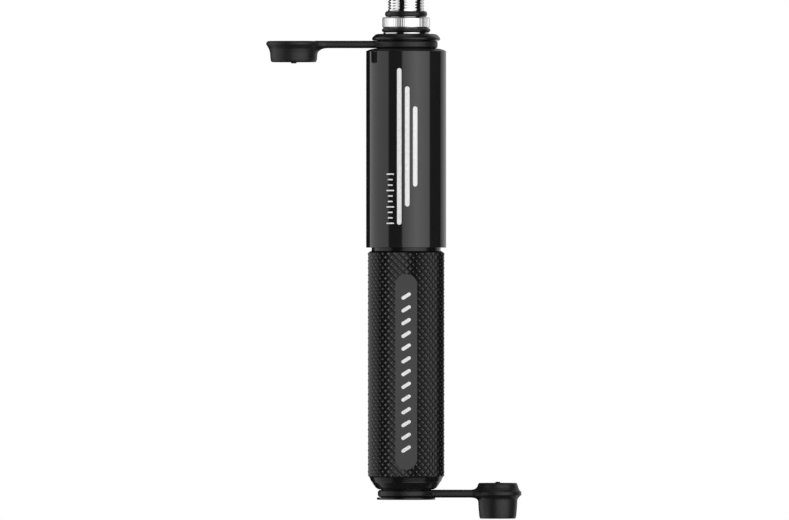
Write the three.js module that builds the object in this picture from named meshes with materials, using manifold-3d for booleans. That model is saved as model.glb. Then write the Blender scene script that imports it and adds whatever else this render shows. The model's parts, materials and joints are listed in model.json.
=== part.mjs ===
// A pocket-size bicycle pump, stored as it is carried: handle pushed home, flexible hose inside the
// hollow piston rod, and both rubber end caps swung out on their tethers.
//
// The pump stands along +Z and is turned about that axis. Heights in this file are millimetres above the
// flat face of the outlet end; the whole pump is then lowered so that its origin is the grip's middle.
// Air path: piston -> orifice and check valve in the outlet head -> M10 port -> hose.

import * as THREE from "three";
import { mergeVertices } from "three/addons/utils/BufferGeometryUtils.js";
import Module from "manifold-3d";

const wasm = await Module();
wasm.setup();

// ---------------------------------------------------------------- driving dimensions, mm

const ROUND = 24; // sides of every turned part, all in phase, so that nested parts keep their clearance
const RING_SIDES = 8; // sides of an O-ring's section

const GRIP = { bore: 9.55, outer: 10.5, bottom: 5.2, top: 68.4 };
const FLAT = { level: 9.77, halfWidth: 3.02, bottom: 8.3, top: 62.1 };
const BARREL = { bore: 8.2, outer: 9.5, bottom: 5.15, top: 114 };
const HEAD = { flange: 8, groove: 6.9, collar: 9.5, spigot: 8.15, seat: 5.1, top: 13.1 };
const PORT = { mouth: 5.9, mouthDepth: 1.8, thread: 5.05, depth: 7.2 };
const VALVE = { chamber: 2.6, seat: 11.2, orifice: 1 };
const GLAND = { bottom: 107.5, shoulder: 114.05, top: 115.6, bore: 6.75, pocket: 7.25 };
const ROD = { bore: 6, outer: 6.6, bottom: 22.05, top: 122.5 };
const PISTON = { outer: 8.1, bottom: 13.5, shoulder: 22, spigot: 5.95, top: 27 };
const HANDLE = { outer: 11, bore: 9.75, bottom: 69.6, top: 124.2, wall: 1.6, hole: 7.3 };
const NECK = { stem: 7.25, stemBottom: 117.15, groove: 7.6, flange: 9.32, flangeBottom: 126.3, top: 128.1 };

const THREAD = 5; // radius of the M10 thread on both hose ends
const THREAD_CORE = 4.6; // radius of the O-ring groove under that thread
const THREAD_CHAMFER = 0.4;
const BARB = { outer: 1.45, passage: 1.1, length: 8 };
const CHUCK_BODY = { outer: 5.8, bottom: 121, seat: 128.15 };
const CHUCK = { band: 6.55, bandBottom: 129.75, bandTop: 132.65, threadBottom: 134.4, top: 138.4 };
const SCHRADER = { bore: 3.95, floor: 133.3, pinPocket: 2.2, pinFloor: 130.2, pocketTop: 131.1 };
const INNER_END = { bottom: 28, thread: 32, band: 5.75, bandBottom: 33.65, bandTop: 36.65, top: 47.5 };
const INNER_BODY = 4.9; // radius of the Presta end above its band
const PRESTA = { bore: 2.75, pocket: 2.9, pocketBottom: 33.4, pocketTop: 35.6, core: 1.6, coreTop: 39.5 };
const HOSE = { bore: 1.5, outer: 3.5 };
const FERRULE = { bore: 3.55, outer: 4.1, length: 7.6 };
const BLEED = { height: 43, hole: 1.3, holeFloor: 2.3, vent: 0.6 };

const STRAP = { thickness: 2, width: 6, hingeGap: 0.04, notchSpare: 0.06 };
// A tether is a ring, a strap and a cap. side is the way it points along X, and reach is from the pump's
// axis to the cap's. The strap doubles over, up or down, in equal bends, which moves its level by fold.
const UPPER = { level: 125.2, side: -1, reach: 30.9, fold: 10.06, bends: 3, up: 1 };
const LOWER = { level: 1.68, side: 1, reach: 25.2, fold: 3.3, bends: 2, up: -1 };
UPPER.ring = { bore: 7.7, outer: 8.62 };
LOWER.ring = { bore: 7, outer: 7.72 };

const GRIP_MIDDLE = 36.95; // the origin's height, half way up the part of the grip that is held

// ---------------------------------------------------------------- materials

function finish(color, roughness, metalness) {
  return new THREE.MeshStandardMaterial({ color, roughness, metalness });
}

const GLOSS_BLACK = finish(0x0b0b0c, 0.12, 0.6);
const SATIN_BLACK = finish(0x18181a, 0.45, 0.5);
const CHROME = finish(0xd8d9db, 0.08, 1);
const ALUMINIUM = finish(0xb9bcc0, 0.3, 1);
const BRASS = finish(0xb08d4a, 0.3, 1);
const STEEL = finish(0x9a9ca0, 0.3, 1);
const RUBBER = finish(0x161616, 0.7, 0);
const HOSE_RUBBER = finish(0x1b1b1c, 0.6, 0);
const BEARING_PLASTIC = finish(0xd9d4c6, 0.5, 0);

// ---------------------------------------------------------------- shape helpers

// A solid of revolution about +Z from [radius, height] corners. The outline starts and ends on the axis,
// or is closed here, and runs anticlockwise, which turns the faces outwards.
function turned(outline, sides = ROUND) {
  const corners = outline.map(([radius, height]) => new THREE.Vector2(radius, height));
  if (THREE.ShapeUtils.area(corners) < 0) corners.reverse();
  if (corners[0].x > 0) corners.push(corners[0].clone());
  return new THREE.LatheGeometry(corners, sides).rotateX(Math.PI / 2);
}

function tube(bore, outer, bottom, top) {
  return turned([
    [bore, bottom],
    [outer, bottom],
    [outer, top],
    [bore, top],
  ]);
}

// A rubber ring whose oval section fills the given groove.
function oRing(inner, outer, bottom, top) {
  const outline = [];
  for (let i = 0; i < RING_SIDES; i++) {
    const angle = (2 * Math.PI * i) / RING_SIDES;
    const radius = (inner + outer) / 2 + ((outer - inner) / 2) * Math.cos(angle);
    outline.push([radius, (bottom + top) / 2 + ((top - bottom) / 2) * Math.sin(angle)]);
  }
  return turned(outline);
}

// A flat slab whose side view is the given outline of [distance along X, height] corners, width across Y.
function slab(outline, width) {
  const shape = new THREE.Shape(outline.map(([x, z]) => new THREE.Vector2(x, z)));
  const block = new THREE.ExtrudeGeometry(shape, { depth: width, bevelEnabled: false });
  return block.rotateX(Math.PI / 2).translate(0, width / 2, 0);
}

class Helix extends THREE.Curve {
  constructor(radius, height, turns) {
    super();
    this.radius = radius;
    this.height = height;
    this.turns = turns;
  }

  getPoint(t, target = new THREE.Vector3()) {
    const angle = 2 * Math.PI * this.turns * t;
    return target.set(this.radius * Math.cos(angle), this.radius * Math.sin(angle), this.height * t);
  }
}

// A compression spring on +Z, its wire's ends inside bottom and top.
function spring(radius, wire, bottom, top, turns) {
  const section = new THREE.Shape().absarc(0, 0, wire, 0, 2 * Math.PI);
  const path = new Helix(radius, top - bottom - 2 * wire, turns);
  const coil = new THREE.ExtrudeGeometry(section, { curveSegments: 3, steps: 12 * turns, extrudePath: path });
  return coil.translate(0, 0, bottom + wire);
}

function solidOf(geometry) {
  const bare = geometry.clone();
  bare.deleteAttribute("normal");
  bare.deleteAttribute("uv");
  const merged = mergeVertices(bare);
  return new wasm.Manifold(
    new wasm.Mesh({
      numProp: 3,
      vertProperties: merged.attributes.position.array,
      triVerts: new Uint32Array(merged.index.array),
    }),
  );
}

function geometryOf(solid) {
  const mesh = solid.getMesh();
  const geometry = new THREE.BufferGeometry();
  geometry.setAttribute("position", new THREE.BufferAttribute(mesh.vertProperties, 3));
  geometry.setIndex(new THREE.BufferAttribute(mesh.triVerts, 1));
  geometry.computeVertexNormals();
  return geometry;
}

function joined(first, ...others) {
  return geometryOf(others.reduce((solid, other) => solid.add(solidOf(other)), solidOf(first)));
}

function cut(first, ...tools) {
  return geometryOf(tools.reduce((solid, tool) => solid.subtract(solidOf(tool)), solidOf(first)));
}

// ---------------------------------------------------------------- barrel: the air cylinder

function barrelTube() {
  return tube(BARREL.bore, BARREL.outer, BARREL.bottom, BARREL.top);
}

// What is milled away to leave a flat with round ends along the front of the grip.
function flatCutter() {
  const outline = [];
  const steps = 8;
  for (const [centre, side] of [
    [FLAT.top - FLAT.halfWidth, 1],
    [FLAT.bottom + FLAT.halfWidth, -1],
  ]) {
    for (let i = 0; i <= steps; i++) {
      const angle = (Math.PI * i) / steps;
      const rise = FLAT.halfWidth * Math.sin(angle);
      outline.push([side * FLAT.halfWidth * Math.cos(angle), centre + side * rise]);
    }
  }
  return slab(outline, 2).translate(0, -FLAT.level - 1, 0);
}

// The knurled sleeve that the hand holds, tapered at the outlet end, with a flat on its front.
function gripSleeve() {
  const sleeve = turned([
    [GRIP.bore, GRIP.bottom],
    [9.72, GRIP.bottom],
    [9.88, 5.9],
    [GRIP.outer, 6.7],
    [GRIP.outer, GRIP.top - 0.5],
    [9.85, GRIP.top],
    [GRIP.bore, GRIP.top],
  ]);
  return cut(sleeve, flatCutter());
}

// The end fitting screwed into the barrel: M10 port below, check valve chamber, orifice into the cylinder.
// The lower tether's ring turns in the groove between its flange and its collar.
function outletHead() {
  const gland = { radius: 7, bottom: 8.6, top: 10.6 };
  return turned([
    [PORT.mouth, 0],
    [HEAD.flange - 0.15, 0],
    [HEAD.flange, 0.6],
    [HEAD.groove, 0.6],
    [HEAD.groove, 2.78],
    [7.6, 2.83],
    [8.9, 3.4],
    [HEAD.collar, 4.2],
    [HEAD.collar, HEAD.seat],
    [HEAD.spigot, HEAD.seat],
    [HEAD.spigot, gland.bottom],
    [gland.radius, gland.bottom],
    [gland.radius, gland.top],
    [HEAD.spigot, gland.top],
    [HEAD.spigot, HEAD.top],
    [VALVE.orifice, HEAD.top],
    [VALVE.orifice, VALVE.seat],
    [VALVE.chamber, VALVE.seat],
    [VALVE.chamber, PORT.depth],
    [PORT.thread, PORT.depth],
    [PORT.thread, PORT.mouthDepth],
    [PORT.mouth, PORT.mouthDepth],
  ]);
}

function headSeal() {
  return oRing(7.03, HEAD.spigot + 0.02, 8.7, 10.5);
}

// The perforated brass screw that holds the check valve's spring.
function valveRetainer() {
  return tube(0.9, 2.55, 7.3, 8.3);
}

function checkSpring() {
  return spring(1.45, 0.16, 8.36, 9.84, 3);
}

function checkPoppet() {
  return turned([
    [0, 9.9],
    [2, 9.9],
    [2.1, 10.1],
    [2.1, 10.6],
    [1.3, 11.15],
    [0, 11.15],
  ]);
}

// The ring screwed into the barrel's mouth: it guides the rod and stops the piston.
function rodGland() {
  return turned([
    [GLAND.bore, GLAND.bottom],
    [HEAD.spigot, GLAND.bottom],
    [HEAD.spigot, GLAND.shoulder],
    [9.45, GLAND.shoulder],
    [9.45, GLAND.top - 0.25],
    [9.2, GLAND.top],
    [GLAND.bore, GLAND.top],
    [GLAND.bore, GLAND.top - 0.6],
    [GLAND.pocket, GLAND.top - 0.6],
    [GLAND.pocket, GLAND.bottom + 0.5],
    [GLAND.bore, GLAND.bottom + 0.5],
  ]);
}

function rodBush() {
  return tube(6.66, 7.2, 108.1, 112.9);
}

function rodWiper() {
  return oRing(6.66, 7.2, 113.1, 114.9);
}

// ---------------------------------------------------------------- handle: tube, neck, rod and piston

// The gloss tube that slides over the barrel. Its closed end falls away to a rounded shoulder.
function handleTube() {
  return turned([
    [HANDLE.bore, HANDLE.bottom],
    [HANDLE.outer - 0.15, HANDLE.bottom],
    [HANDLE.outer, HANDLE.bottom + 0.15],
    [HANDLE.outer, 123.35],
    [10.4, 123.75],
    [9.3, 124.05],
    [8, HANDLE.top],
    [HANDLE.hole, HANDLE.top],
    [HANDLE.hole, HANDLE.top - HANDLE.wall],
    [HANDLE.bore, HANDLE.top - HANDLE.wall],
  ]);
}

// The neck above the handle: a stem that carries the rod, the upper tether's groove, and the rim of the
// hose store.
function handleNeck() {
  return turned([
    [ROD.outer + 0.05, NECK.stemBottom],
    [NECK.stem, NECK.stemBottom],
    [NECK.stem, HANDLE.top + 0.02],
    [NECK.groove, HANDLE.top + 0.02],
    [NECK.groove, NECK.flangeBottom],
    [9, NECK.flangeBottom],
    [NECK.flange, 126.8],
    [9.05, 127.35],
    [8.6, 127.85],
    [8, NECK.top],
    [ROD.bore + 0.05, NECK.top],
    [ROD.bore + 0.05, ROD.top + 0.1],
    [ROD.outer + 0.05, ROD.top + 0.1],
  ]);
}

function handleNut() {
  return tube(NECK.stem + 0.05, 9.2, 120.8, HANDLE.top - HANDLE.wall - 0.05);
}

// The rubber washer that softens the end of each stroke.
function handleBumper() {
  return oRing(ROD.outer + 0.05, 8.9, GLAND.top + 0.1, NECK.stemBottom - 0.05);
}

function pistonRod() {
  return tube(ROD.bore, ROD.outer, ROD.bottom, ROD.top);
}

function piston() {
  const seal = { radius: 7, bottom: 15, top: 17.4 };
  const guide = { radius: 7.45, bottom: 18.4, top: 20.6 };
  const ring = { radius: 5.25, bottom: 24.4, top: 26 };
  return turned([
    [0, PISTON.bottom],
    [PISTON.outer, PISTON.bottom],
    [PISTON.outer, seal.bottom],
    [seal.radius, seal.bottom],
    [seal.radius, seal.top],
    [PISTON.outer, seal.top],
    [PISTON.outer, guide.bottom],
    [guide.radius, guide.bottom],
    [guide.radius, guide.top],
    [PISTON.outer, guide.top],
    [PISTON.outer, PISTON.shoulder],
    [PISTON.spigot, PISTON.shoulder],
    [PISTON.spigot, ring.bottom],
    [ring.radius, ring.bottom],
    [ring.radius, ring.top],
    [PISTON.spigot, ring.top],
    [PISTON.spigot, PISTON.top],
    [0, PISTON.top],
  ]);
}

// The cup seal: a heel that fills the groove, and a lip that flares towards the compressed air.
function pistonSeal() {
  return turned([
    [7.04, 15.2],
    [7.35, 15.2],
    [7.5, 16.2],
    [8, 15.1],
    [8.17, 15.4],
    [7.95, 17.3],
    [7.04, 17.3],
  ]);
}

// The split bearing ring that keeps the piston off the barrel's wall.
function pistonGuide() {
  const gap = new THREE.BoxGeometry(3, 1, 4).translate(8, 0, 19.5);
  return cut(tube(7.49, 8.16, 18.5, 20.5), gap);
}

function pistonRodSeal() {
  return oRing(5.29, 5.96, 24.5, 25.9);
}

// ---------------------------------------------------------------- hose, with a thread-on fitting at each end

// The Schrader end, which stands out of the neck: M10 thread, knurled band, and a flange that rests on the
// rim.
function schraderFitting() {
  const grooveTop = CHUCK.bandBottom;
  const grooveBottom = CHUCK_BODY.seat + 0.3;
  return turned([
    [BARB.passage, CHUCK_BODY.bottom - BARB.length],
    [BARB.outer, CHUCK_BODY.bottom - BARB.length],
    [BARB.outer, CHUCK_BODY.bottom],
    [CHUCK_BODY.outer, CHUCK_BODY.bottom],
    [CHUCK_BODY.outer, CHUCK_BODY.seat],
    [6.3, CHUCK_BODY.seat],
    [6.3, grooveBottom],
    [5.2, grooveBottom],
    [5.2, grooveTop],
    [CHUCK.band - 0.2, grooveTop],
    [CHUCK.band, grooveTop + 0.2],
    [CHUCK.band, CHUCK.bandTop - 0.2],
    [CHUCK.band - 0.2, CHUCK.bandTop],
    [THREAD_CORE, CHUCK.bandTop],
    [THREAD_CORE, CHUCK.threadBottom],
    [THREAD, CHUCK.threadBottom],
    [THREAD, CHUCK.top - THREAD_CHAMFER],
    [THREAD - THREAD_CHAMFER, CHUCK.top],
    [SCHRADER.bore, CHUCK.top],
    [SCHRADER.bore, SCHRADER.pocketTop],
    [SCHRADER.pinPocket, SCHRADER.pocketTop],
    [SCHRADER.pinPocket, SCHRADER.pinFloor],
    [BARB.passage, SCHRADER.pinFloor],
  ]);
}

function schraderGrommet() {
  return tube(1.7, SCHRADER.bore - 0.05, SCHRADER.pocketTop + 0.05, SCHRADER.floor - 0.1);
}

// The pin that opens the tyre valve, on a disc notched so that air can pass.
function schraderPin() {
  const notches = [];
  for (let i = 0; i < 3; i++) {
    const angle = (2 * Math.PI * i) / 3;
    const notch = new THREE.CylinderGeometry(0.5, 0.5, 2, 12).rotateX(Math.PI / 2);
    notches.push(notch.translate(1.75 * Math.cos(angle), 1.75 * Math.sin(angle), 130.6));
  }
  const disc = turned([
    [0, SCHRADER.pinFloor + 0.05],
    [2.12, SCHRADER.pinFloor + 0.05],
    [2.12, SCHRADER.pinFloor + 0.65],
    [0.7, SCHRADER.pinFloor + 0.65],
    [0.7, SCHRADER.floor + 0.3],
    [0, SCHRADER.floor + 0.5],
  ]);
  return cut(disc, ...notches);
}

function threadRing() {
  return oRing(THREAD_CORE + 0.03, 5.8, CHUCK.bandTop + 0.1, CHUCK.threadBottom - 0.05);
}

function storeRing() {
  return oRing(5.23, 6.68, CHUCK_BODY.seat + 0.33, CHUCK.bandBottom - 0.04);
}

function hoseTube() {
  return tube(HOSE.bore, HOSE.outer, INNER_END.top + 0.1, CHUCK_BODY.bottom - 0.1);
}

function upperFerrule() {
  const top = CHUCK_BODY.bottom - 0.2;
  return tube(FERRULE.bore, FERRULE.outer, top - FERRULE.length, top);
}

function lowerFerrule() {
  const bottom = INNER_END.top + 0.2;
  return tube(FERRULE.bore, FERRULE.outer, bottom, bottom + FERRULE.length);
}

// A short cylinder along Y from the pump's front, between two distances from the axis.
function radialPin(radius, far, near, height) {
  const pin = new THREE.CylinderGeometry(radius, radius, far - near, 16);
  return pin.translate(0, -(far + near) / 2, height);
}

// The Presta end, stored at the bottom of the rod: M10 thread, knurled band, bleed button's hole, hose barb.
function prestaFitting() {
  const body = turned([
    [PRESTA.bore, INNER_END.bottom],
    [THREAD - THREAD_CHAMFER, INNER_END.bottom],
    [THREAD, INNER_END.bottom + THREAD_CHAMFER],
    [THREAD, INNER_END.thread],
    [THREAD_CORE, INNER_END.thread],
    [THREAD_CORE, INNER_END.bandBottom],
    [INNER_END.band - 0.2, INNER_END.bandBottom],
    [INNER_END.band, INNER_END.bandBottom + 0.2],
    [INNER_END.band, INNER_END.bandTop - 0.2],
    [INNER_END.band - 0.2, INNER_END.bandTop],
    [INNER_BODY, INNER_END.bandTop],
    [INNER_BODY, INNER_END.top],
    [BARB.outer, INNER_END.top],
    [BARB.outer, INNER_END.top + BARB.length],
    [BARB.passage, INNER_END.top + BARB.length],
    [BARB.passage, PRESTA.coreTop],
    [PRESTA.core, PRESTA.coreTop],
    [PRESTA.core, PRESTA.pocketTop],
    [PRESTA.pocket, PRESTA.pocketTop],
    [PRESTA.pocket, PRESTA.pocketBottom],
    [PRESTA.bore, PRESTA.pocketBottom],
  ]);
  const hole = radialPin(BLEED.hole, 6, BLEED.holeFloor, BLEED.height);
  const vent = radialPin(BLEED.vent, 3, 0.5, BLEED.height);
  return cut(body, hole, vent);
}

function prestaRing() {
  return oRing(THREAD_CORE + 0.03, 5.7, INNER_END.thread + 0.05, INNER_END.bandBottom - 0.05);
}

function prestaGrommet() {
  return tube(1.3, PRESTA.pocket - 0.05, PRESTA.pocketBottom + 0.1, PRESTA.pocketTop - 0.1);
}

function bleedButton() {
  return radialPin(BLEED.hole - 0.08, INNER_BODY - 0.06, 3.3, BLEED.height);
}

function bleedSpring() {
  const coil = spring(0.75, 0.12, BLEED.holeFloor + 0.04, 3.26, 2);
  return coil.rotateX(Math.PI / 2).translate(0, 0, BLEED.height);
}

// ---------------------------------------------------------------- tethers: rubber rings, straps and caps

// The hinge lines of a strap, as distances from the pump's axis.
function hingeLines(tether) {
  const pitch = tether.fold * Math.tan(Math.PI / tether.bends / 2);
  const middle = (tether.bends - 1) / 2;
  return Array.from({ length: tether.bends }, (_, i) => tether.reach / 2 + (i - middle) * pitch);
}

// How far each side of a hinge line is cut back, so that the lengths can bend without meeting.
function notchOf(tether) {
  return (STRAP.thickness / 2) * Math.tan(Math.PI / tether.bends / 2) + STRAP.notchSpare;
}

// One stiff length of strap between two distances along X. An end on a hinge line is notched on the side
// that the strap bends to.
function strapLength(tether, start, end, startHinged, endHinged) {
  const half = STRAP.thickness / 2;
  const startGap = startHinged ? STRAP.hingeGap : 0;
  const endGap = endHinged ? STRAP.hingeGap : 0;
  const outline = [
    [start + startGap, -tether.up * half],
    [end - endGap, -tether.up * half],
    [end - endGap, 0],
    [end - (endHinged ? notchOf(tether) : 0), tether.up * half],
    [start + (startHinged ? notchOf(tether) : 0), tether.up * half],
    [start + startGap, 0],
  ];
  return slab(
    outline.map(([x, z]) => [tether.side * x, z]),
    STRAP.width,
  );
}

// The ring that snaps into the pump's groove, with its strap up to the first hinge line.
function tetherRing(tether) {
  const half = STRAP.thickness / 2;
  const ring = turned([
    [tether.ring.bore, -half],
    [tether.ring.outer - 0.35, -half],
    [tether.ring.outer, -0.4],
    [tether.ring.outer, 0.4],
    [tether.ring.outer - 0.35, half],
    [tether.ring.bore, half],
  ]);
  return joined(ring, strapLength(tether, tether.ring.bore + 0.2, hingeLines(tether)[0], false, true));
}

// The stretch of strap from the last hinge line to just inside a cap's wall, in the cap's own place.
function capStrap(tether, wall) {
  const strap = strapLength(tether, hingeLines(tether).at(-1), tether.reach - wall, true, false);
  return strap.translate(-tether.side * tether.reach, 0, 0);
}

// The cup that covers the hose's threaded end. It hangs mouth up, and its inside is domed so that it can
// swing on.
function upperCap() {
  const cup = turned([
    [0, -4.8],
    [0.8, -4.8],
    [0.8, -4.45],
    [5.9, -4.45],
    [6.4, -4],
    [6.5, -2.6],
    [6.85, -1.4],
    [7.4, -0.6],
    [7.63, 0],
    [7.4, 0.7],
    [7, 1],
    [6.7, 1],
    [6.52, 0],
    [6.27, -1],
    [5.82, -2],
    [5.3, -3],
    [4.9, -3.34],
    [0, -3.34],
  ]);
  return joined(cup, capStrap(UPPER, 7));
}

// The cap of the outlet port: a button-shaped top over the plug.
function lowerCap() {
  const button = turned([
    [0, -1.48],
    [5.7, -1.48],
    [5.98, -0.9],
    [6.5, -0.35],
    [6.5, 0.35],
    [5.98, 1.02],
    [5.62, 1.6],
    [5.35, 2.8],
    [5.2, 2.94],
    [0.65, 2.94],
    [0.65, 3.27],
    [0, 3.27],
  ]);
  return joined(button, capStrap(LOWER, 5.4));
}

// The soft hollow plug, a little larger than the port's thread, that squeezes into it.
function portPlug() {
  return turned([
    [3.2, -1.53],
    [5.43, -1.53],
    [5.16, -4],
    [5.12, -6.6],
    [4.8, -6.88],
    [3.2, -6.88],
  ]);
}

// ---------------------------------------------------------------- assembly

function part(group, name, geometry, material) {
  const mesh = new THREE.Mesh(geometry, material);
  mesh.name = name;
  group.add(mesh);
  return mesh;
}

const pump = new THREE.Group();
pump.position.z = -GRIP_MIDDLE;

const barrel = new THREE.Group();
part(barrel, "barrel_tube", barrelTube(), SATIN_BLACK);
part(barrel, "grip_sleeve", gripSleeve(), SATIN_BLACK);
part(barrel, "outlet_head", outletHead(), SATIN_BLACK);
part(barrel, "outlet_head_seal", headSeal(), RUBBER);
part(barrel, "check_valve_retainer", valveRetainer(), BRASS);
part(barrel, "check_valve_spring", checkSpring(), STEEL);
part(barrel, "check_valve_poppet", checkPoppet(), RUBBER);
part(barrel, "rod_gland", rodGland(), SATIN_BLACK);
part(barrel, "rod_bush", rodBush(), BEARING_PLASTIC);
part(barrel, "rod_wiper", rodWiper(), RUBBER);
pump.add(barrel);

const handle = new THREE.Group();
part(handle, "handle_tube", handleTube(), GLOSS_BLACK);
part(handle, "handle_neck", handleNeck(), SATIN_BLACK);
part(handle, "handle_nut", handleNut(), ALUMINIUM);
part(handle, "handle_bumper", handleBumper(), RUBBER);
part(handle, "piston_rod", pistonRod(), ALUMINIUM);
part(handle, "piston", piston(), ALUMINIUM);
part(handle, "piston_seal", pistonSeal(), RUBBER);
part(handle, "piston_guide_ring", pistonGuide(), BEARING_PLASTIC);
part(handle, "piston_rod_seal", pistonRodSeal(), RUBBER);
pump.add(handle);

const hose = new THREE.Group();
part(hose, "schrader_fitting", schraderFitting(), CHROME);
part(hose, "schrader_grommet", schraderGrommet(), RUBBER);
part(hose, "schrader_pin", schraderPin(), BRASS);
part(hose, "schrader_thread_oring", threadRing(), RUBBER);
part(hose, "schrader_store_oring", storeRing(), RUBBER);
part(hose, "schrader_ferrule", upperFerrule(), CHROME);
part(hose, "hose_tube", hoseTube(), HOSE_RUBBER);
part(hose, "presta_ferrule", lowerFerrule(), CHROME);
part(hose, "presta_fitting", prestaFitting(), CHROME);
part(hose, "presta_thread_oring", prestaRing(), RUBBER);
part(hose, "presta_grommet", prestaGrommet(), RUBBER);
part(hose, "bleed_button", bleedButton(), STEEL);
part(hose, "bleed_spring", bleedSpring(), STEEL);
pump.add(hose);

const upperTether = new THREE.Group();
upperTether.position.z = UPPER.level;
const [upperFirst, upperSecond, upperThird] = hingeLines(UPPER);
part(upperTether, "upper_cap_ring", tetherRing(UPPER), RUBBER);
part(upperTether, "upper_strap_inner", strapLength(UPPER, upperFirst, upperSecond, true, true), RUBBER);
part(upperTether, "upper_strap_outer", strapLength(UPPER, upperSecond, upperThird, true, true), RUBBER);
part(upperTether, "upper_cap", upperCap(), RUBBER).position.x = UPPER.side * UPPER.reach;
pump.add(upperTether);

const lowerTether = new THREE.Group();
lowerTether.position.z = LOWER.level;
const [lowerFirst, lowerSecond] = hingeLines(LOWER);
part(lowerTether, "lower_cap_ring", tetherRing(LOWER), RUBBER);
part(lowerTether, "lower_strap", strapLength(LOWER, lowerFirst, lowerSecond, true, true), RUBBER);
part(lowerTether, "lower_cap", lowerCap(), RUBBER).position.x = LOWER.side * LOWER.reach;
part(lowerTether, "lower_cap_plug", portPlug(), RUBBER).position.x = LOWER.side * LOWER.reach;
pump.add(lowerTether);

const root = new THREE.Group();
root.add(pump);

export default root;
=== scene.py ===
"""The looks of a mini bicycle pump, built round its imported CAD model.

Outlines are in millimetres: distance from the pump's axis, and height above the flat face of the outlet end.
"""

import json
import math

import bmesh
import bpy
import numpy as np
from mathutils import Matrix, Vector


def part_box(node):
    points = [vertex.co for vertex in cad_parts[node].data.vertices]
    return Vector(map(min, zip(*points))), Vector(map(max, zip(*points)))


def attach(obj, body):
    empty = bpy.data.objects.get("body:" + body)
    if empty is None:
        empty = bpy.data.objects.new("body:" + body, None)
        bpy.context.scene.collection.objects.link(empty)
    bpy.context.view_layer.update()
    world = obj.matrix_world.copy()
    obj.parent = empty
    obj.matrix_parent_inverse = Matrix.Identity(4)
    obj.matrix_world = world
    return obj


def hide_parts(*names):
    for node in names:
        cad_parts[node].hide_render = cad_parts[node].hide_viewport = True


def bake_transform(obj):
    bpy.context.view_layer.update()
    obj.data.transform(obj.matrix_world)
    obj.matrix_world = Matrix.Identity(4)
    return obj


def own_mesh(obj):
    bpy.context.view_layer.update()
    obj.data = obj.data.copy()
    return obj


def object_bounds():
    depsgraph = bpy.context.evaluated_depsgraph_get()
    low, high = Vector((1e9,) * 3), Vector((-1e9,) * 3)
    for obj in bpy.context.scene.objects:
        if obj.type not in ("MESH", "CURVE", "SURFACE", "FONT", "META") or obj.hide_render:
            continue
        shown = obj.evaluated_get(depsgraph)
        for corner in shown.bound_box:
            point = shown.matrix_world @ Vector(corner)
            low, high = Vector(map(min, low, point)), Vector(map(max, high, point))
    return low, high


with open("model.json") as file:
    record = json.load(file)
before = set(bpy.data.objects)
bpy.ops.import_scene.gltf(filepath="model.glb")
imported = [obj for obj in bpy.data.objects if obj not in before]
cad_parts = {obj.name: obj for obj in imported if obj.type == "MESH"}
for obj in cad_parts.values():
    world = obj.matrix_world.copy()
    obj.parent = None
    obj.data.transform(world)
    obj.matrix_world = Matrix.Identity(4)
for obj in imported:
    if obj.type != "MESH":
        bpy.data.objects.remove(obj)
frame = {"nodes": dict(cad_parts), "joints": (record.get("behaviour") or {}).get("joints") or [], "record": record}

CAD_BOX = [list(corner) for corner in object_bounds()]
JOINTS = {joint["name"]: joint for joint in frame["joints"]}

MM = 0.001
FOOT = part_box("outlet_head")[0].z  # the outlet face, where heights start
SIDES = {"small": 64, "middle": 96, "plain": 120, "large": 192}  # round a turned piece
FILLET_STEPS = 5
LONG_RUN = 0.6  # mm: a straight run of an outline longer than this is held at its ends
HOLD = 0.04  # mm from a fillet to the row of points that keeps its shading to itself
SAME_POINT = 5e-8  # m
SMOOTH_ANGLE = math.radians(32)
KNURL_SMOOTH_ANGLE = math.radians(11)
WIRE_SMOOTH_ANGLE = math.radians(60)

# ---------------------------------------------------------------- driving dimensions, mm

TUBE_RADIUS = 11.0  # gloss handle tube
GRIP_RADIUS = 10.54
KNURL = {"starts": 34, "pitch": 1.93, "deep": 0.35, "shallow": 0.31, "groove": 0.8}
PANEL = {"half_width": 3.02, "low": 8.3, "high": 62.1, "flat": 9.77}
THREAD = {"pitch": 0.75, "depth": 0.4, "rows": 8, "flank": 0.75, "run_out": 0.25, "sides": 160}
BAND = {"teeth": 72, "depth": 0.08, "groove": 0.3, "columns": 8}
STRAP = {"width": 6.0, "edge": 0.9, "bend": 1.75}
MOULD_CELL = 0.14  # size of the grid that the rubber pieces are drawn on
RIM_MELT = 0.3  # rounding at the rim of a cavity
RING_MELT = 1.0  # rounding between a ring and its strap
PAST_AXIS = -3  # mm: where the outline of a solid that reaches its axis starts and ends
INK = 0.025  # half the thickness of the printed marks


# ---------------------------------------------------------------- mesh helpers

def rounded(corners):
    """The closed outline through corners, with an arc at each corner given as (radius, height, fillet)."""
    points = []
    for i, corner in enumerate(corners):
        here = np.array(corner[:2], float)
        back = np.array(corners[i - 1][:2]) - here
        on = np.array(corners[(i + 1) % len(corners)][:2]) - here
        back_length, on_length = np.hypot(*back), np.hypot(*on)
        back, on = back / back_length, on / on_length
        half = math.acos(max(-1.0, min(1.0, back @ on))) / 2
        if len(corner) < 3 or half > math.radians(89):
            points.append(tuple(here))
            continue
        reach = min(corner[2] / math.tan(half), back_length * 0.49, on_length * 0.49)
        radius = reach * math.tan(half)
        centre = here + (back + on) / np.hypot(*(back + on)) * reach / math.cos(half)
        first = math.atan2(*(here + back * reach - centre)[::-1])
        last = math.atan2(*(here + on * reach - centre)[::-1])
        sweep = (last - first + math.pi) % (2 * math.pi) - math.pi
        for k in range(FILLET_STEPS + 1):
            angle = first + sweep * k / FILLET_STEPS
            points.append((centre[0] + radius * math.cos(angle), centre[1] + radius * math.sin(angle)))
    return points


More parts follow.
